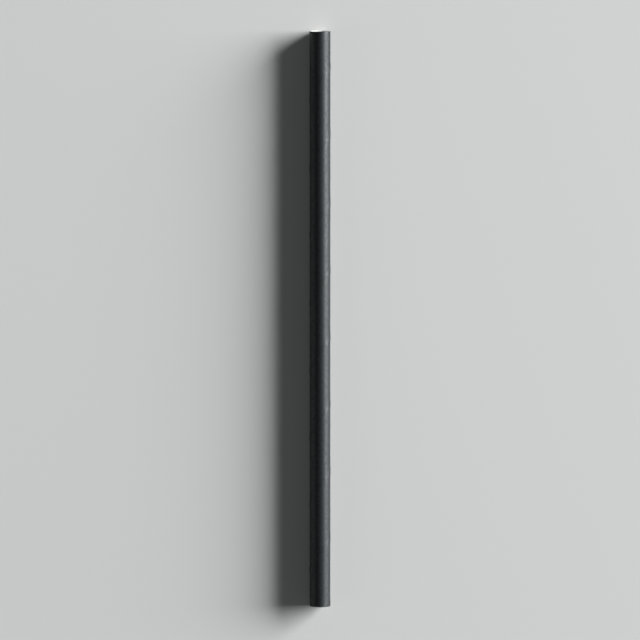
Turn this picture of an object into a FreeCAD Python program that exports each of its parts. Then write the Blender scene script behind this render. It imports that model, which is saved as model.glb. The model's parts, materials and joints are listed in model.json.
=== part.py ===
# Paper drinking straw: a thin tube wound from three strips of paper, cut square at both ends.
# It lies on its side along Y, with its middle over the origin and its lowest side at Z = 0.
# All sizes are in millimetres.

import math
import os

import FreeCAD
import Part

# The straw
STRAW_LENGTH = 197.0
BORE_DIAMETER = 6.2

# The paper: two plies of base paper under one thinner outer ply
BASE_PLY_THICKNESS = 0.19
BASE_PLY_COUNT = 2
OUTER_PLY_THICKNESS = 0.07

# The winding: a right-handed helix, the same for every ply
TURN_PITCH = 23.0

# The outer strip laps over the edge of its own last turn, which leaves a low step along the helix.
# Both widths are measured along the straw.
LAP_WIDTH = 1.6
LAP_SLOPE_WIDTH = 1.0

# The edges of the innermost strip meet with a hairline gap, a part of a turn away from the lap.
INNER_GAP_WIDTH = 0.35
INNER_GAP_DEPTH = 0.06
INNER_GAP_TURN = 0.5

# The soft paper is pressed flat, this wide, along the side that it lies on.
REST_FLAT_WIDTH = 1.4

# What follows from them
WALL = BASE_PLY_COUNT * BASE_PLY_THICKNESS + OUTER_PLY_THICKNESS
BORE_RADIUS = BORE_DIAMETER / 2
OUTER_RADIUS = BORE_RADIUS + WALL
LAP_HEIGHT = OUTER_PLY_THICKNESS
WIDEST_RADIUS = OUTER_RADIUS + LAP_HEIGHT
AXIS_HEIGHT = math.sqrt(OUTER_RADIUS**2 - (REST_FLAT_WIDTH / 2) ** 2)

# A profile that is fused to the wall or cut from it runs this far past the surface that it crosses.
ROOT = OUTER_PLY_THICKNESS / 2


def plain_tube():
    """The wall without its seams, standing on Z = 0."""
    outside = Part.makeCylinder(OUTER_RADIUS, STRAW_LENGTH)
    bore = Part.makeCylinder(BORE_RADIUS, STRAW_LENGTH)
    return outside.cut(bore)


def wound(profile, first_turn):
    """A closed profile carried along the winding's helix, past both ends of the straw.

    The profile is a list of (radius, height) corners, and first_turn the part of a turn, round the
    straw, at which it starts.
    """
    turns = math.ceil(STRAW_LENGTH / TURN_PITCH) + 2
    corners = [FreeCAD.Vector(radius, 0, height) for radius, height in profile]
    outline = Part.makePolygon(corners + corners[:1])
    helix = Part.makeHelix(TURN_PITCH, turns * TURN_PITCH, OUTER_RADIUS)
    strand = Part.Wire(helix.Edges).makePipeShell([outline], True, True)
    strand.rotate(FreeCAD.Vector(0, 0, 0), FreeCAD.Vector(0, 0, 1), 360 * first_turn)
    strand.translate(FreeCAD.Vector(0, 0, -TURN_PITCH))
    return strand


def cut_to_length(shape):
    """What lies between the straw's two cut ends."""
    return shape.common(Part.makeCylinder(2 * WIDEST_RADIUS, STRAW_LENGTH))


def outer_lap():
    """The strip's edge on top of its last turn: a square step on one side, a slope down on the other."""
    slope_end = LAP_WIDTH + LAP_SLOPE_WIDTH * (1 + ROOT / LAP_HEIGHT)
    profile = [
        (OUTER_RADIUS - ROOT, 0),
        (WIDEST_RADIUS, 0),
        (WIDEST_RADIUS, LAP_WIDTH),
        (OUTER_RADIUS - ROOT, slope_end),
    ]
    return cut_to_length(wound(profile, 0))


def inner_gap():
    """The hairline gap between the edges of the innermost strip."""
    profile = [
        (BORE_RADIUS - ROOT, 0),
        (BORE_RADIUS + INNER_GAP_DEPTH, 0),
        (BORE_RADIUS + INNER_GAP_DEPTH, INNER_GAP_WIDTH),
        (BORE_RADIUS - ROOT, INNER_GAP_WIDTH),
    ]
    return wound(profile, INNER_GAP_TURN)


def laid_down(shape):
    """The same shape along Y, with its axis at the height at which the straw lies."""
    shape.translate(FreeCAD.Vector(0, 0, -STRAW_LENGTH / 2))
    shape.rotate(FreeCAD.Vector(0, 0, 0), FreeCAD.Vector(1, 0, 0), -90)
    shape.translate(FreeCAD.Vector(0, 0, AXIS_HEIGHT))
    return shape


def below_the_flat():
    """Everything under the surface Z = 0, which takes the flat off the lowest side."""
    width = 4 * WIDEST_RADIUS
    length = 2 * STRAW_LENGTH
    return Part.makeBox(width, length, WIDEST_RADIUS, FreeCAD.Vector(-width / 2, -length / 2, -WIDEST_RADIUS))


def straw():
    """The finished straw, lying along Y on the surface Z = 0."""
    wall = plain_tube().fuse(outer_lap()).cut(inner_gap())
    return laid_down(wall).cut(below_the_flat())


os.makedirs("parts", exist_ok=True)
part = straw()
part.exportStep("parts/straw.step")
box = part.optimalBoundingBox(False, False)
print("solids", len(part.Solids), "valid", part.isValid(), "faces", len(part.Faces))
print("volume", round(part.Volume, 2), "size", round(box.XLength, 3), round(box.YLength, 3), round(box.ZLength, 3))
print("corners", round(box.XMin, 3), round(box.YMin, 3), round(box.ZMin, 3))
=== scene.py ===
"""The looks of a black paper drinking straw that lies on its side along Y.

The straw is one closed shell of paper, wound on a helix: an outer sheet with a lapped seam, an inner
sheet with a butt joint, and a cut edge at either end. Each is a function of the angle round the straw
and of the turns of the winding, worked out on a grid whose rows run along the helix, so that the edge
of the paper is a line of the mesh. All sizes are in metres, and the straw's own come from the frame.
"""

import functools
import json
import logging
import math
from dataclasses import dataclass
from enum import Enum

import bmesh
import bpy
import numpy as np
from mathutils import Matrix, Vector


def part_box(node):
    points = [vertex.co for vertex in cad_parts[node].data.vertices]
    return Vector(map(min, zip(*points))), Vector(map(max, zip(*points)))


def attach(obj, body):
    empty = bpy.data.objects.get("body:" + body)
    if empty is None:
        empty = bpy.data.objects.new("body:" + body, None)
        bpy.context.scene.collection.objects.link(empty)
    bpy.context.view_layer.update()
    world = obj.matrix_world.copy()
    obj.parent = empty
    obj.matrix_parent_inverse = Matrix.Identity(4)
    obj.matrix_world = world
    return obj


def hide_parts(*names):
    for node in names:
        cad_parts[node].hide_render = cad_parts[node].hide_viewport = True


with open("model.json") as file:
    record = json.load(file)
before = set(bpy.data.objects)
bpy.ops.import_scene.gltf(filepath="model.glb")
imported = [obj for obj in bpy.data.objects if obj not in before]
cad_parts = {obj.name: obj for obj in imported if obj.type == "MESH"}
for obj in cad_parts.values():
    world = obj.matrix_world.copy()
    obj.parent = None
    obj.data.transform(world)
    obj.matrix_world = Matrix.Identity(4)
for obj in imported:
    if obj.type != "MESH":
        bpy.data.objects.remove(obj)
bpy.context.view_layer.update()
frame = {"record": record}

LOG = logging.getLogger("straw")
MM = 0.001
FULL_TURN = 2 * math.pi
NODE = "straw"
WINDING_MAP = "winding"
SPARE_TURNS = 1
ROUNDING = 1e-9


class Paper(Enum):
    """The two papers, each with its place in the straw's list of materials."""

    BLACK = 0
    WHITE = 1


class Side(Enum):
    """Which way the faces of a sheet look."""

    OUT = "away from the axis"
    IN = "towards the axis"


class Layer(Enum):
    """The places in the wall that a ring of its cut edge is counted from, from the outside in."""

    OUTER_FACE = 0
    OUTER_JOINT = 1
    BASE_MIDDLE = 2
    BASE_JOINT = 3
    INNER_FACE = 4


def smooth_step(value: np.ndarray) -> np.ndarray:
    """A soft ramp, 3v^2 - 2v^3, from 0 at 0 to 1 at 1."""
    held = np.clip(value, 0.0, 1.0)
    return held * held * (3 - 2 * held)


def soft_line(distance: np.ndarray, width: float) -> np.ndarray:
    """A bell curve, exp(-(d/w)^2), of the distance from a line."""
    return np.exp(-((distance / width) ** 2))


@dataclass(frozen=True)
class Wave:
    """A wave round the straw: its crests in a turn, its start, and its length along the straw over 2 pi."""

    crests: int
    start: float
    length: float = math.inf

    def at(self, angle: np.ndarray, along: np.ndarray, end: int = 1) -> np.ndarray:
        """The wave's height at each place: cos(crests angle + y / length + start end)."""
        return np.cos(self.crests * angle + along / self.length + self.start * end)


def blended(waves: tuple[Wave, ...], angle: np.ndarray, along: np.ndarray, end: int = 1) -> np.ndarray:
    """The mean of some waves, brought to between 0 and 1.

    Args:
        waves: The waves.
        angle: The angle round the straw.
        along: The place along it.
        end: 1 or -1, which turns the waves' starts round.

    Returns:
        (1 + the waves' mean) / 2.
    """
    total = sum(wave.at(angle, along, end) for wave in waves)
    return (1 + total / len(waves)) / 2


@dataclass(frozen=True)
class Winding:
    """The helix that every strip of paper follows, and the seams that it leaves.

    A place on the straw has an angle, which grows from +X through the lowest side, and a phase: how
    far it is, in turns, past the free edge of the outer strip. Going once round the straw at the same
    place along it takes one turn off the phase.
    """

    length: float
    outer_radius: float
    lap_height: float
    pitch: float = 23.0 * MM
    lap_width: float = 1.6 * MM
    lap_slope_width: float = 1.0 * MM
    edge_width: float = 0.04 * MM
    shoulder_width: float = 0.1 * MM
    joint_width: float = 0.35 * MM
    joint_depth: float = 0.06 * MM
    joint_turn: float = 0.5
    sink_depth: float = 0.016 * MM
    sink_width: float = 0.55 * MM
    sink_reach: float = 1.6
    sink_turns: tuple[float, ...] = (0.28, 0.62)
    fine_rows: int = 5
    edge_rows: int = 3
    outer_plain_rows: int = 17
    inner_plain_rows: int = 13

    def phase(self, angle: np.ndarray, along: np.ndarray) -> np.ndarray:
        """The phase of a place: (y + length/2) / pitch - angle / full turn."""
        return (along + self.length / 2) / self.pitch - angle / FULL_TURN

    def along(self, angle: np.ndarray, phase: np.ndarray) -> np.ndarray:
        """The place along the straw with this angle and phase, the inverse of phase()."""
        return self.pitch * (phase + angle / FULL_TURN) - self.length / 2

    def lap(self, phase: np.ndarray) -> np.ndarray:
        """How far the lapped seam stands proud.

        Args:
            phase: The phase of each place.

        Returns:
            A steep step up at the free edge, a level top and a straight slope down.
        """
        past = np.mod(phase, 1.0) * self.pitch
        step = smooth_step(past / self.edge_width)
        slope = np.clip((self.lap_width + self.lap_slope_width - past) / self.lap_slope_width, 0.0, 1.0)
        return self.lap_height * step * slope

    def sinks(self, phase: np.ndarray) -> np.ndarray:
        """How far the paper sinks over the joints of the strips under it.

        Args:
            phase: The phase of each place.

        Returns:
            The sum of a bell curve at each joint.
        """
        sunk = np.zeros_like(phase)
        for turn in self.sink_turns:
            off = (np.mod(phase - turn + 0.5, 1.0) - 0.5) * self.pitch
            sunk = sunk + self.sink_depth * soft_line(off, self.sink_width)
        return sunk

    def joint(self, phase: np.ndarray) -> np.ndarray:
        """The depth of the hairline gap between the edges of the innermost strip.

        Args:
            phase: The phase of each place.

        Returns:
            The gap's depth between its two edges, which stand nearly square, and nothing elsewhere.
        """
        past = np.mod(phase + self.joint_turn, 1.0) * self.pitch
        near_edge = smooth_step(past / self.edge_width)
        far_edge = smooth_step((self.joint_width - past) / self.edge_width)
        return self.joint_depth * near_edge * far_edge

    def outer_rows(self) -> np.ndarray:
        """The rows of one turn of the outer sheet, as phases.

        Returns:
            Rows close together at the free edge, over the lap and over the sinks, and even elsewhere.
        """
        lap_end = self.lap_width + self.lap_slope_width
        reach = self.sink_reach * self.sink_width
        rows = [
            np.linspace(0.0, self.edge_width, self.fine_rows),
            np.array([self.shoulder_width]),
            np.linspace(0.0, self.lap_width, self.edge_rows),
            np.linspace(self.lap_width, lap_end, self.edge_rows),
            np.linspace(lap_end, self.pitch, self.outer_plain_rows)[:-1],
        ]
        sink = np.linspace(-reach, reach, self.fine_rows)
        rows.extend(turn * self.pitch + sink for turn in self.sink_turns)
        return np.unique(np.concatenate(rows)) / self.pitch

    def inner_rows(self) -> np.ndarray:
        """The rows of one turn of the inner sheet, as phases.

        Returns:
            Rows close together at both edges of the butt joint, and even elsewhere.
        """
        near_edge = np.linspace(0.0, self.edge_width, self.edge_rows)
        far_edge = np.linspace(self.joint_width - self.edge_width, self.joint_width, self.edge_rows)
        plain = np.linspace(self.joint_width, self.pitch, self.inner_plain_rows)[:-1]
        rows = np.unique(np.concatenate([near_edge, far_edge, plain])) / self.pitch
        return np.sort(np.mod(rows - self.joint_turn, 1.0))

    def rows(self, side: Side) -> np.ndarray:
        """The rows of one turn of the sheet on this side."""
        return self.outer_rows() if side is Side.OUT else self.inner_rows()

    def strip_start(self, side: Side) -> float:
        """The phase at which this side's strip starts."""
        return 0.0 if side is Side.OUT else 1.0 - self.joint_turn

    def strip_width(self) -> float:
        """The width of a strip: the pitch times the cosine of the slant."""
        return self.pitch * math.cos(self.slant())

    def slant(self) -> float:
        """The angle of the strips to a ring round the straw."""
        return math.atan2(self.pitch, FULL_TURN * self.outer_radius)

    def unrolled(self, angle: np.ndarray, phase: np.ndarray, turn: np.ndarray) -> np.ndarray:
        """Where a place is on its strip of paper, laid out flat, in millimetres.

        Args:
            angle: The angle round the straw.
            phase: The phase of each place.
            turn: The turn that its strip is on.

        Returns:
            The distance along the strip and the distance across it, as the last axis of the array.
        """
        around = self.outer_radius * (angle + FULL_TURN * turn)
        along = self.along(angle, phase)
        slant = self.slant()
        lengthwise = around * math.cos(slant) + along * math.sin(slant)
        across = (phase - turn) * self.pitch * math.cos(slant)
        return np.stack(np.broadcast_arrays(lengthwise, across), axis=-1) / MM


@dataclass(frozen=True)
class Sheet:
    """A grid of points, with the place on its strip of paper of each corner of its squares."""

    points: np.ndarray
    corners: np.ndarray
    paper: Paper
    side: Side

    def faces(self, first: int) -> np.ndarray:
        """The grid's squares.

        Args:
            first: The number of the grid's first point in the mesh.

        Returns:
            Four numbers of points for each square, in the order that looks to the sheet's side.
        """
        rows, columns = self.points.shape[:2]
        number = first + np.arange(rows * columns).reshape(rows, columns)
        return self.facing(square_corners(number))

    def places(self) -> np.ndarray:
        """The place on the paper of each corner of each square, in the order of faces()."""
        return self.facing(self.corners)

    def facing(self, squares: np.ndarray) -> np.ndarray:
        """The squares as one list, their corners in the other order for a sheet that looks out."""
        flat = squares.reshape(-1, *squares.shape[2:])
        return flat if self.side is Side.IN else flat[:, ::-1]


def square_corners(grid: np.ndarray) -> np.ndarray:
    """The values at the four corners of each square of a grid, corner by corner round the square."""
    return np.stack([grid[:-1, :-1], grid[:-1, 1:], grid[1:, 1:], grid[1:, :-1]], axis=2)


@dataclass(frozen=True)
class Ring:
    """One ring of the cut edge.

    It is counted from a layer of the wall: how far inwards of it the ring lies, and how far back from
    the knife's cut, both in widths of the cut's bevel. Fuzz is how far the paper's torn fibres move
    it. A ring at the foot lies where the wound sheets end.
    """

    layer: Layer
    inwards: float
    back: float
    fuzz: float = 0.0
    foot: bool = False


EDGE_RINGS = {
    Paper.BLACK: (
        Ring(Layer.OUTER_FACE, 0.0, 1.0, foot=True),
        Ring(Layer.OUTER_FACE, 0.3, 0.3),
        Ring(Layer.OUTER_FACE, 1.0, 0.0),
        Ring(Layer.OUTER_JOINT, 0.0, 0.0),
    ),
    Paper.WHITE: (
        Ring(Layer.OUTER_JOINT, 0.0, 0.0),
        Ring(Layer.OUTER_JOINT, 0.3, 0.5),
        Ring(Layer.BASE_MIDDLE, 0.0, 0.1, fuzz=0.08),
        Ring(Layer.BASE_JOINT, -0.6, 0.2),
        Ring(Layer.BASE_JOINT, 0.0, 0.9),
        Ring(Layer.BASE_JOINT, 0.6, 0.2),
        Ring(Layer.INNER_FACE, -1.0, 0.1, fuzz=-0.08),
        Ring(Layer.INNER_FACE, -0.3, 0.4),
        Ring(Layer.INNER_FACE, 0.0, 1.0, foot=True),
    ),
}


@dataclass(frozen=True)
class Straw:
    """The straw: its sizes, its sheets of paper, its mesh and its dress."""

    length: float
    bore_radius: float
    outer_radius: float
    axis_height: float
    winding: Winding
    columns: int = 120
    outer_ply: float = 0.07 * MM
    base_ply: float = 0.19 * MM
    ripple_depth: float = 0.02 * MM
    ripple_waves: tuple[Wave, ...] = (Wave(2, 0.0, 31 * MM), Wave(3, 1.7, -9 * MM), Wave(1, 0.6, 14 * MM))
    inner_ripple: float = 0.5
    cut_bevel: float = 0.03 * MM
    cut_wave_depth: float = 0.02 * MM
    cut_waves: tuple[Wave, ...] = (Wave(1, 2.1), Wave(5, 0.7), Wave(11, -1.3))
    fuzz_waves: tuple[Wave, ...] = (Wave(23, 1.0), Wave(9, 0.0))
    merge_distance: float = 0.001 * MM
    sharp_angle: float = math.radians(35)

    @classmethod
    def from_record(cls, record: dict) -> "Straw":
        """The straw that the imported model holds.

        Args:
            record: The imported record, whose mounts give the radii, the length and the axis's height.

        Returns:
            The straw. Its lap is as high as its CAD node is wider than the plain tube.
        """
        mounts = {mount["name"]: mount for mount in record["mounts"]}
        length = mounts["bore"]["dims"]["length_mm"] * MM
        outer_radius = mounts["outside"]["dims"]["r_mm"] * MM
        lap_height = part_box(NODE)[1].x - outer_radius
        return cls(
            length=length,
            bore_radius=mounts["bore"]["dims"]["r_mm"] * MM,
            outer_radius=outer_radius,
            axis_height=mounts["bore"]["pos_m"][2],
            winding=Winding(length, outer_radius, lap_height),
        )

    def angles(self) -> np.ndarray:
        """The angle of each column of the sheets, once round the straw and back to the first."""
        return np.linspace(0.0, FULL_TURN, self.columns + 1)

    def ripple(self, angle: np.ndarray, along: np.ndarray) -> np.ndarray:
        """How far the wall strays in from a true tube: slow waves, from 0 to the ripple's depth."""
        return self.ripple_depth * blended(self.ripple_waves, angle, along)

    def outside(self, angle: np.ndarray, along: np.ndarray) -> np.ndarray:
        """The radius of the outer face.

        Args:
            angle: The angle round the straw.
            along: The place along it.

        Returns:
            The plain radius with the lap, the sinks and the ripple, cut off by the flat that the straw
            lies on, which is axis_height / sin(angle) from the axis.
        """
        phase = self.winding.phase(angle, along)
        radius = self.outer_radius + self.winding.lap(phase) - self.winding.sinks(phase)
        radius = radius - self.ripple(angle, along)
        # Round the upper side the flat's plane is never met, so there its distance is held at a diameter.
        flat = self.axis_height / np.maximum(np.sin(angle), self.axis_height / (2 * self.outer_radius))
        return np.minimum(radius, flat)

    def inside(self, angle: np.ndarray, along: np.ndarray) -> np.ndarray:
        """The radius of the inner face.

        Args:
            angle: The angle round the straw.
            along: The place along it.

        Returns:
            The bore's radius with its butt joint, and a part of the outer face's ripple.
        """
        joint = self.winding.joint(self.winding.phase(angle, along))
        return self.bore_radius + joint + self.inner_ripple * (self.ripple_depth - self.ripple(angle, along))

    def face(self, side: Side, angle: np.ndarray, along: np.ndarray) -> np.ndarray:
        """The radius of the outer or the inner face."""
        return self.outside(angle, along) if side is Side.OUT else self.inside(angle, along)

    def placed(self, angle: np.ndarray, along: np.ndarray, radius: np.ndarray) -> np.ndarray:
        """The points at these angles, places along the straw and distances from its axis.

        Args:
            angle: The angle round the straw.
            along: The place along it.
            radius: The distance r from its axis.

        Returns:
            x = r cos(angle), y = along, z = axis height - r sin(angle), as the last axis of the array.
        """
        across = radius * np.cos(angle)
        height = self.axis_height - radius * np.sin(angle)
        return np.stack(np.broadcast_arrays(across, along, height), axis=-1)

    def wound_sheet(self, side: Side) -> Sheet:
        """The outer or the inner sheet, from one cut end to the other.

        Its grid has a column for each angle and a row for each phase, so its rows follow the helix.
        Rows that would pass a cut end stop there, at the foot of the edge's bevel.

        Args:
            side: Side.OUT for the outer sheet, Side.IN for the inner one.

        Returns:
            The sheet, with the place of each corner on its own strip of paper.
        """
        winding = self.winding
        angles = self.angles()
        turns = np.arange(-1 - SPARE_TURNS, math.ceil(self.length / winding.pitch) + SPARE_TURNS)
        phase = (turns[:, None] + winding.rows(side)).ravel()[:, None]
        end = self.length / 2 - self.cut_bevel
        along = np.clip(winding.along(angles, phase), -end, end)
        kept = winding.phase(angles, along)
        start = winding.strip_start(side)
        turn = np.floor(phase[:-1] - start + ROUNDING)[..., None] + start
        corner_angles = square_corners(np.broadcast_to(angles, kept.shape))
        corners = winding.unrolled(corner_angles, square_corners(kept), turn)
        paper = Paper.BLACK if side is Side.OUT else Paper.WHITE
        return Sheet(self.placed(angles, along, self.face(side, angles, along)), corners, paper, side)

    def layers(self, along: np.ndarray) -> dict[Layer, np.ndarray]:
        """The radius of each layer of the wall, all round.

        Args:
            along: The place along the straw.

        Returns:
            The radii by layer. The lap doesn't lift the layers under the outer ply.
        """
        angles = self.angles()
        outer = self.outside(angles, along)
        outer_joint = np.minimum(outer, self.outer_radius) - self.outer_ply
        return {
            Layer.OUTER_FACE: outer,
            Layer.OUTER_JOINT: outer_joint,
            Layer.BASE_MIDDLE: outer_joint - self.base_ply / 2,
            Layer.BASE_JOINT: outer_joint - self.base_ply,
            Layer.INNER_FACE: self.inside(angles, along),
        }

    def cut_edge(self, end: int, paper: Paper) -> Sheet:
        """The cut edge of the black strip, or of the white ones inside it, as rings round one end.

        The knife's cut strays from square by slow waves of the angle, other ones at each end, and the
        fuzz is the product of two quick ones.

        Args:
            end: 1 for the far end, -1 for the near one.
            paper: Which paper's edge.

        Returns:
            The sheet of rings, from the outer radius to the inner one.
        """
        angles = self.angles()
        foot = np.full_like(angles, self.length / 2 - self.cut_bevel)
        cut = self.length / 2 - self.cut_wave_depth * blended(self.cut_waves, angles, foot, end)
        fuzz = math.prod(wave.at(angles, foot, end) for wave in self.fuzz_waves)
        layers = self.layers(end * foot)
        rings = EDGE_RINGS[paper]
        radius = np.stack([layers[ring.layer] - ring.inwards * self.cut_bevel for ring in rings])
        moved = [cut + (ring.fuzz * fuzz - ring.back) * self.cut_bevel for ring in rings]
        along = np.stack([foot if ring.foot else at for ring, at in zip(rings, moved)])
        around = np.broadcast_to(self.outer_radius * angles, radius.shape)
        place = square_corners(np.stack([around, radius], axis=-1) / MM)
        side = Side.OUT if end == 1 else Side.IN
        return Sheet(self.placed(angles, end * along, radius), place, paper, side)

    def sheets(self) -> list[Sheet]:
        """All the sheets that close the shell."""
        wound = [self.wound_sheet(side) for side in Side]
        return wound + [self.cut_edge(end, paper) for end in (1, -1) for paper in Paper]

    def build(self) -> bpy.types.Object:
        """The straw as one closed mesh, with its winding map and its papers' material numbers.

        Returns:
            The straw's object, in the scene.
        """
        mesh = bpy.data.meshes.new("wound_straw")
        sheets = self.sheets()
        firsts = np.cumsum([0] + [sheet.points[..., 0].size for sheet in sheets])
        points = np.concatenate([sheet.points.reshape(-1, 3) for sheet in sheets])
        faces = np.concatenate([sheet.faces(first) for sheet, first in zip(sheets, firsts)])
        places = np.concatenate([sheet.places() for sheet in sheets])
        papers = np.repeat([sheet.paper.value for sheet in sheets], [len(sheet.places()) for sheet in sheets])
        mesh.from_pydata(points, [], faces)
        mesh.uv_layers.new(name=WINDING_MAP)
        mesh.uv_layers[WINDING_MAP].data.foreach_set("uv", places.ravel().astype(np.float32))
        mesh.polygons.foreach_set("material_index", papers.astype(np.int32))
        self.weld(mesh)
        mesh.polygons.foreach_set("use_smooth", np.ones(len(mesh.polygons), bool))
        mesh.set_sharp_from_angle(angle=self.sharp_angle)
        piece = bpy.data.objects.new("wound_straw", mesh)
        bpy.context.scene.collection.objects.link(piece)
        return piece

    def weld(self, mesh: bpy.types.Mesh) -> None:
        """Joins the sheets where their points meet, and drops the squares that shrank to nothing.

        Args:
            mesh: The mesh to weld.
        """
        shell = bmesh.new()
        shell.from_mesh(mesh)
        bmesh.ops.remove_doubles(shell, verts=shell.verts, dist=self.merge_distance)
        loose = [point for point in shell.verts if not point.link_faces]
        bmesh.ops.delete(shell, geom=loose, context="VERTS")
        bmesh.ops.recalc_face_normals(shell, faces=shell.faces)
        shell.to_mesh(mesh)
        shell.free()
        mesh.update()

    def dress(self, piece: bpy.types.Object) -> None:
        """Gives the straw its two papers, in the order of Paper.

        Args:
            piece: The straw's object.
        """
        groups = Groups(paper_grain_group(), strip_edge_group())
        for paper in Paper:
            piece.data.materials.append(FINISHES[paper].material(groups, self.winding.strip_width()))


class Ramp(Enum):
    """How a value runs from one end of its range to the other."""

    STRAIGHT = "LINEAR"
    SOFT = "SMOOTHSTEP"


class Wiring:
    """A node tree that is being filled, with short ways to add and join its nodes."""

    def __init__(self, tree: bpy.types.NodeTree) -> None:
        """Takes the tree to fill."""
        self.tree = tree

    def add(self, kind: str, **settings: object) -> bpy.types.Node:
        """A new node of this kind.

        Args:
            kind: The node's type name.
            settings: Its properties, by name.

        Returns:
            The node.
        """
        node = self.tree.nodes.new(kind)
        for name, value in settings.items():
            setattr(node, name, value)
        return node

    def feed(self, node: bpy.types.Node, **inputs: object) -> bpy.types.Node:
        """Gives a node's inputs a value, or a link from another node's output.

        Args:
            node: The node.
            inputs: Values and outputs, by the input's name in small letters with _ for each space,
                or by its number after the word at.

        Returns:
            The same node.
        """
        by_name = {}
        for socket in node.inputs:
            by_name.setdefault(socket.name.lower().replace(" ", "_"), socket)
        for name, value in inputs.items():
            socket = node.inputs[int(name[2:])] if name[:2] == "at" and name[2:].isdigit() else by_name[name]
            if isinstance(value, bpy.types.NodeSocket):
                self.tree.links.new(value, socket)
            else:
                socket.default_value = value
        return node

    def math(self, operation: str, *values: object) -> bpy.types.NodeSocket:
        """The result of one sum, product or other operation on numbers or outputs.

        Args:
            operation: The operation's name.
            values: The numbers or outputs.

        Returns:
            The result's output.
        """
        node = self.add("ShaderNodeMath", operation=operation)
        self.feed(node, **{f"at{number}": value for number, value in enumerate(values)})
        return node.outputs[0]

    def noise(self, place: bpy.types.NodeSocket, detail: float, bend: float) -> bpy.types.NodeSocket:
        """Clouds one unit in size, from 0 to 1 about a half.

        Args:
            place: Where on the surface.
            detail: How many finer sizes of cloud are added.
            bend: How far the clouds are pulled out of shape.

        Returns:
            The clouds' output.
        """
        node = self.add("ShaderNodeTexNoise", noise_dimensions="2D")
        self.feed(node, vector=place, scale=1.0, detail=detail, distortion=bend)
        return node.outputs[0]

    def ramp(self, value: bpy.types.NodeSocket, reach: tuple, shape: Ramp) -> bpy.types.Node:
        """A node that brings a value to a new range, which is 0 to 1 until it is fed another.

        Args:
            value: The value's output.
            reach: The two values, numbers or outputs, that it brings to the ends of the new range.
            shape: Whether the ramp is straight or soft at its ends.

        Returns:
            The node.
        """
        node = self.add("ShaderNodeMapRange", interpolation_type=shape.value)
        return self.feed(node, value=value, from_min=reach[0], from_max=reach[1])


def new_group(name: str, inputs: tuple[str, ...], outputs: tuple[str, ...]) -> bpy.types.NodeTree:
    """An empty node group that takes a place on the paper and some numbers, and puts out numbers.

    Args:
        name: The group's name.
        inputs: The names of the numbers that it takes.
        outputs: The names of the numbers that it puts out.

    Returns:
        The group, with its sockets.
    """
    tree = bpy.data.node_groups.new(name, "ShaderNodeTree")
    tree.interface.new_socket("Place", in_out="INPUT", socket_type="NodeSocketVector")
    for socket in inputs:
        tree.interface.new_socket(socket, in_out="INPUT", socket_type="NodeSocketFloat")
    for socket in outputs:
        tree.interface.new_socket(socket, in_out="OUTPUT", socket_type="NodeSocketFloat")
    return tree


CLOUD_DETAIL = 1.5
FIBRE_TURNS = (math.radians(12), math.radians(-31), math.radians(57), math.radians(-76))
FIBRE_DETAIL = 0.5
FIBRE_BEND = 0.8
FIBRE_THINNESS = 0.07
TONE_OF_FIBRES = 0.12


def paper_grain_group() -> bpy.types.NodeTree:
    """The grain of paper, as a node group: clouds in the sheet, and layers of fibres over them.

    A fibre is a thin line along which a stretched cloud is halfway between its darkest and lightest.

    Returns:
        A group that takes the place on the paper, the clouds' size and height and the fibres' length,
        width and height, all in millimetres. It puts out a tone, from 0 to 1 about a half, and a
        height in millimetres.
    """
    inputs = ("Cloud size", "Cloud height", "Fibre length", "Fibre width", "Fibre height")
    tree = new_group("paper_grain", inputs, ("Tone", "Height"))
    wires = Wiring(tree)
    given = wires.add("NodeGroupInput").outputs
    shrink = wires.add("ShaderNodeVectorMath", operation="SCALE")
    wires.feed(shrink, vector=given["Place"], scale=wires.math("DIVIDE", 1.0, given["Cloud size"]))
    clouds = wires.noise(shrink.outputs[0], CLOUD_DETAIL, 0.0)
    fibre_size = wires.add("ShaderNodeCombineXYZ")
    wires.feed(fibre_size, x=given["Fibre length"], y=given["Fibre width"], z=1.0)
    layers = []
    for turn in FIBRE_TURNS:
        turned = wires.add("ShaderNodeVectorRotate", rotation_type="Z_AXIS")
        wires.feed(turned, vector=given["Place"], angle=turn)
        stretched = wires.add("ShaderNodeVectorMath", operation="DIVIDE")
        wires.feed(stretched, at0=turned.outputs[0], at1=fibre_size.outputs[0])
        cloud = wires.noise(stretched.outputs[0], FIBRE_DETAIL, FIBRE_BEND)
        off = wires.math("ABSOLUTE", wires.math("SUBTRACT", cloud, 0.5))
        line = wires.ramp(off, (0.0, FIBRE_THINNESS), Ramp.SOFT)
        layers.append(wires.feed(line, to_min=1.0, to_max=0.0).outputs[0])
    fibres = functools.reduce(functools.partial(wires.math, "MAXIMUM"), layers)
    centred = wires.math("SUBTRACT", fibres, 0.5)
    tone = wires.math("ADD", clouds, wires.math("MULTIPLY", centred, TONE_OF_FIBRES))
    cloud_height = wires.math("MULTIPLY", clouds, given["Cloud height"])
    fibre_height = wires.math("MULTIPLY", fibres, given["Fibre height"])
    wires.feed(wires.add("NodeGroupOutput"), tone=tone, height=wires.math("ADD", cloud_height, fibre_height))
    return tree


def strip_edge_group() -> bpy.types.NodeTree:
    """A thin line along both edges of a strip of paper, as a node group.

    Returns:
        A group that takes the place on the paper, the strip's width and the line's width, all in
        millimetres, and puts out 1 at the edges and 0 away from them.
    """
    tree = new_group("strip_edge", ("Strip width", "Line width"), ("Line",))
    wires = Wiring(tree)
    given = wires.add("NodeGroupInput").outputs
    parts = wires.add("ShaderNodeSeparateXYZ")
    wires.feed(parts, vector=given["Place"])
    across = parts.outputs["Y"]
    nearest = wires.math("MINIMUM", across, wires.math("SUBTRACT", given["Strip width"], across))
    fall = wires.ramp(nearest, (0.0, given["Line width"]), Ramp.SOFT)
    wires.feed(wires.add("NodeGroupOutput"), line=wires.feed(fall, to_min=1.0, to_max=0.0).outputs[0])
    return tree


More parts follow.
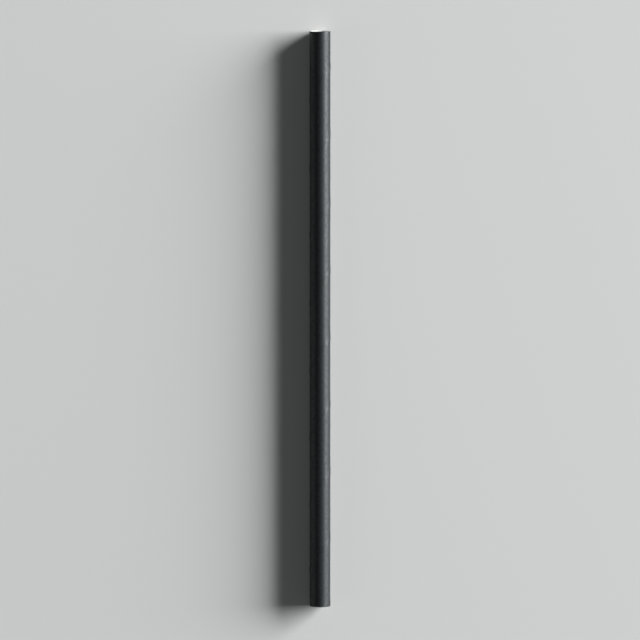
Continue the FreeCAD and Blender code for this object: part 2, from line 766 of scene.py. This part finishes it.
@dataclass(frozen=True)
class Groups:
    """The node groups that both papers share."""

    paper_grain: bpy.types.NodeTree
    strip_edge: bpy.types.NodeTree


@dataclass(frozen=True)
class PaperFinish:
    """How one paper looks: its colour, its shine and its grain, whose sizes are in millimetres."""

    name: str
    dark: tuple[float, float, float]
    light: tuple[float, float, float]
    roughness: float
    roughness_spread: float
    shine: float
    sheen: float
    cloud_size: float
    cloud_height: float
    fibre_length: float
    fibre_width: float
    fibre_height: float
    # How far the strip's edges are darkened: partly painted shade in the seam's gap, partly dirt in it.
    edge_line: float
    edge_width: float
    darkest_tone: float = 0.35
    lightest_tone: float = 0.65

    def material(self, groups: Groups, strip_width: float) -> bpy.types.Material:
        """The finish as a material.

        Args:
            groups: The shared node groups.
            strip_width: The width of the strip of paper.

        Returns:
            The material. Its colour runs from dark to light with the grain's tone and darkens at the edges of
            the strip, partly as painted shade of the seam's gap and partly as dirt in it, and its lighter
            parts are smoother.
        """
        made = bpy.data.materials.new(self.name)
        made.use_nodes = True
        wires = Wiring(made.node_tree)
        shader = made.node_tree.nodes["Principled BSDF"]
        place = wires.add("ShaderNodeUVMap", uv_map=WINDING_MAP).outputs[0]
        grain = wires.add("ShaderNodeGroup", node_tree=groups.paper_grain)
        wires.feed(grain, place=place, cloud_size=self.cloud_size, cloud_height=self.cloud_height)
        wires.feed(grain, fibre_length=self.fibre_length, fibre_width=self.fibre_width)
        wires.feed(grain, fibre_height=self.fibre_height)
        line = wires.add("ShaderNodeGroup", node_tree=groups.strip_edge)
        wires.feed(line, place=place, strip_width=strip_width / MM, line_width=self.edge_width)
        tones = (self.darkest_tone, self.lightest_tone)
        spread = wires.ramp(grain.outputs["Tone"], tones, Ramp.STRAIGHT)
        # Darkening along the strip's edges: partly painted shade in the seam's gap, partly dirt in it.
        seam_shade_and_dirt = wires.math("MULTIPLY", line.outputs["Line"], self.edge_line)
        colours = wires.add("ShaderNodeMix", data_type="RGBA", clamp_factor=True)
        colour_in = {socket.identifier: socket for socket in colours.inputs}
        colour_in["A_Color"].default_value = (*self.dark, 1.0)
        colour_in["B_Color"].default_value = (*self.light, 1.0)
        wires.feed(colours, factor=wires.math("SUBTRACT", spread.outputs[0], seam_shade_and_dirt))
        colour_out = {socket.identifier: socket for socket in colours.outputs}
        rough = wires.ramp(grain.outputs["Tone"], tones, Ramp.STRAIGHT)
        smooth = self.roughness - self.roughness_spread
        wires.feed(rough, to_min=self.roughness + self.roughness_spread, to_max=smooth)
        bump = wires.add("ShaderNodeBump")
        wires.feed(bump, strength=1.0, distance=MM, height=grain.outputs["Height"])
        wires.feed(shader, base_color=colour_out["Result_Color"], roughness=rough.outputs[0])
        wires.feed(shader, normal=bump.outputs[0], specular_ior_level=self.shine, sheen_weight=self.sheen)
        return made


BLACK_PAPER = PaperFinish(
    name="black_paper",
    dark=(0.0048, 0.0060, 0.0068),
    light=(0.0125, 0.0145, 0.0158),
    roughness=0.49,
    roughness_spread=0.08,
    shine=0.40,
    sheen=0.02,
    cloud_size=1.1,
    cloud_height=0.032,
    fibre_length=1.5,
    fibre_width=0.30,
    fibre_height=0.006,
    edge_line=0.8,
    edge_width=0.10,
)
WHITE_PAPER = PaperFinish(
    name="white_paper",
    dark=(0.52, 0.51, 0.49),
    light=(0.67, 0.665, 0.645),
    roughness=0.75,
    roughness_spread=0.08,
    shine=0.4,
    sheen=0.05,
    cloud_size=1.0,
    cloud_height=0.02,
    fibre_length=1.5,
    fibre_width=0.30,
    fibre_height=0.007,
    edge_line=0.9,
    edge_width=0.12,
)
FINISHES = {Paper.BLACK: BLACK_PAPER, Paper.WHITE: WHITE_PAPER}


@dataclass(frozen=True)
class SoftLight:
    """A square of soft light, aimed at a place on the floor. Its strength is a radiance in W/(sr m2)."""

    name: str
    place: tuple[float, float, float]
    aim: tuple[float, float, float]
    width: float
    height: float
    radiance: float
    colour: tuple[float, float, float] = (1.0, 1.0, 1.0)

    def build(self) -> bpy.types.Object:
        """The light, whose power is its radiance times pi times its area.

        Returns:
            The light's object, in the scene.
        """
        lamp = bpy.data.lights.new(self.name, "AREA")
        lamp.shape = "RECTANGLE"
        lamp.size = self.width
        lamp.size_y = self.height
        lamp.energy = self.radiance * math.pi * self.width * self.height
        lamp.color = self.colour
        placed = bpy.data.objects.new(self.name, lamp)
        placed.location = self.place
        towards = Vector(self.aim) - Vector(self.place)
        placed.rotation_euler = towards.to_track_quat("-Z", "Y").to_euler()
        bpy.context.scene.collection.objects.link(placed)
        return placed


WINDOW = SoftLight(
    name="window",
    place=(4.9, 1.8, 1.4),
    aim=(0.0, 0.0, 0.0),
    width=3.8,
    height=2.25,
    radiance=41.0,
    colour=(0.94, 0.98, 1.0),
)
WALL_BOUNCE = SoftLight(
    name="wall_bounce",
    place=(-1.3, -0.6, 0.55),
    aim=(0.0, 0.0, 0.0),
    width=1.2,
    height=0.7,
    radiance=0.6,
)


@dataclass(frozen=True)
class Studio:
    """The floor, the sky, the lights and the camera, which looks down on the straw."""

    floor_reach: float = 3.0
    floor_colour: tuple[float, float, float] = (0.64, 0.625, 0.605)
    floor_roughness: float = 0.9
    floor_shine: float = 0.2
    sky_colour: tuple[float, float, float] = (0.86, 0.95, 1.0)
    horizon_strength: float = 0.20
    zenith_strength: float = 0.04
    zenith_height: float = 0.9
    lights: tuple[SoftLight, ...] = (WINDOW, WALL_BOUNCE)
    camera_distance: float = 1.81
    camera_lean: float = math.radians(6)
    camera_view: float = math.radians(6.9)

    def floor_material(self) -> bpy.types.Material:
        """The floor's finish, which isn't part of the straw.

        Returns:
            A plain matt material.
        """
        made = bpy.data.materials.new("pale_floor")
        made.use_nodes = True
        shader = made.node_tree.nodes["Principled BSDF"]
        wires = Wiring(made.node_tree)
        wires.feed(shader, base_color=(*self.floor_colour, 1.0), roughness=self.floor_roughness)
        wires.feed(shader, specular_ior_level=self.floor_shine)
        return made

    def floor(self) -> bpy.types.Object:
        """A plain pale floor at z = 0.

        Returns:
            The floor's object, in the scene.
        """
        mesh = bpy.data.meshes.new("floor")
        turns = ((-1, -1), (1, -1), (1, 1), (-1, 1))
        corners = [(self.floor_reach * x, self.floor_reach * y, 0.0) for x, y in turns]
        mesh.from_pydata(corners, [], [range(len(corners))])
        mesh.materials.append(self.floor_material())
        made = bpy.data.objects.new("floor", mesh)
        bpy.context.scene.collection.objects.link(made)
        return made

    def sky(self) -> None:
        """Faint light from all round, which fades from the horizon up, as in a room with no lamps on."""
        world = bpy.data.worlds.new("soft_sky")
        world.use_nodes = True
        wires = Wiring(world.node_tree)
        direction = wires.add("ShaderNodeTexCoord").outputs["Generated"]
        parts = wires.feed(wires.add("ShaderNodeSeparateXYZ"), vector=direction)
        fade = wires.ramp(parts.outputs["Z"], (0.0, self.zenith_height), Ramp.SOFT)
        wires.feed(fade, to_min=self.horizon_strength, to_max=self.zenith_strength)
        background = world.node_tree.nodes["Background"]
        wires.feed(background, color=(*self.sky_colour, 1.0), strength=fade.outputs[0])
        bpy.context.scene.world = world

    def camera(self, centre: Vector) -> bpy.types.Object:
        """The camera above the straw, leaning towards its far end, as the photograph's looks down on it.

        Args:
            centre: The middle of the straw.

        Returns:
            The camera's object, in the scene.
        """
        lens = bpy.data.cameras.new("camera")
        lens.angle = self.camera_view
        made = bpy.data.objects.new("camera", lens)
        lean = Vector((0.0, math.sin(self.camera_lean), math.cos(self.camera_lean)))
        made.location = centre + self.camera_distance * lean
        made.rotation_euler = (-self.camera_lean, 0.0, 0.0)
        bpy.context.scene.collection.objects.link(made)
        bpy.context.scene.camera = made
        return made

    def build(self, centre: Vector) -> list[bpy.types.Object]:
        """Everything round the straw.

        Args:
            centre: The middle of the straw.

        Returns:
            The objects that were added to the scene.
        """
        bpy.context.scene.view_settings.view_transform = "Standard"
        self.sky()
        return [self.floor(), *(light.build() for light in self.lights), self.camera(centre)]


def main() -> None:
    """Builds the straw, dresses it, sets it in the studio and reports each piece."""
    logging.basicConfig(level=logging.INFO)
    straw = Straw.from_record(frame["record"])
    piece = straw.build()
    straw.dress(piece)
    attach(piece, "root")
    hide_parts(NODE)
    LOG.info("%s: %d points, %d faces", piece.name, len(piece.data.vertices), len(piece.data.polygons))
    for made in Studio().build(Vector((0.0, 0.0, straw.axis_height))):
        LOG.info("%s at %s", made.name, tuple(made.location))


if __name__ == "__main__":
    main()
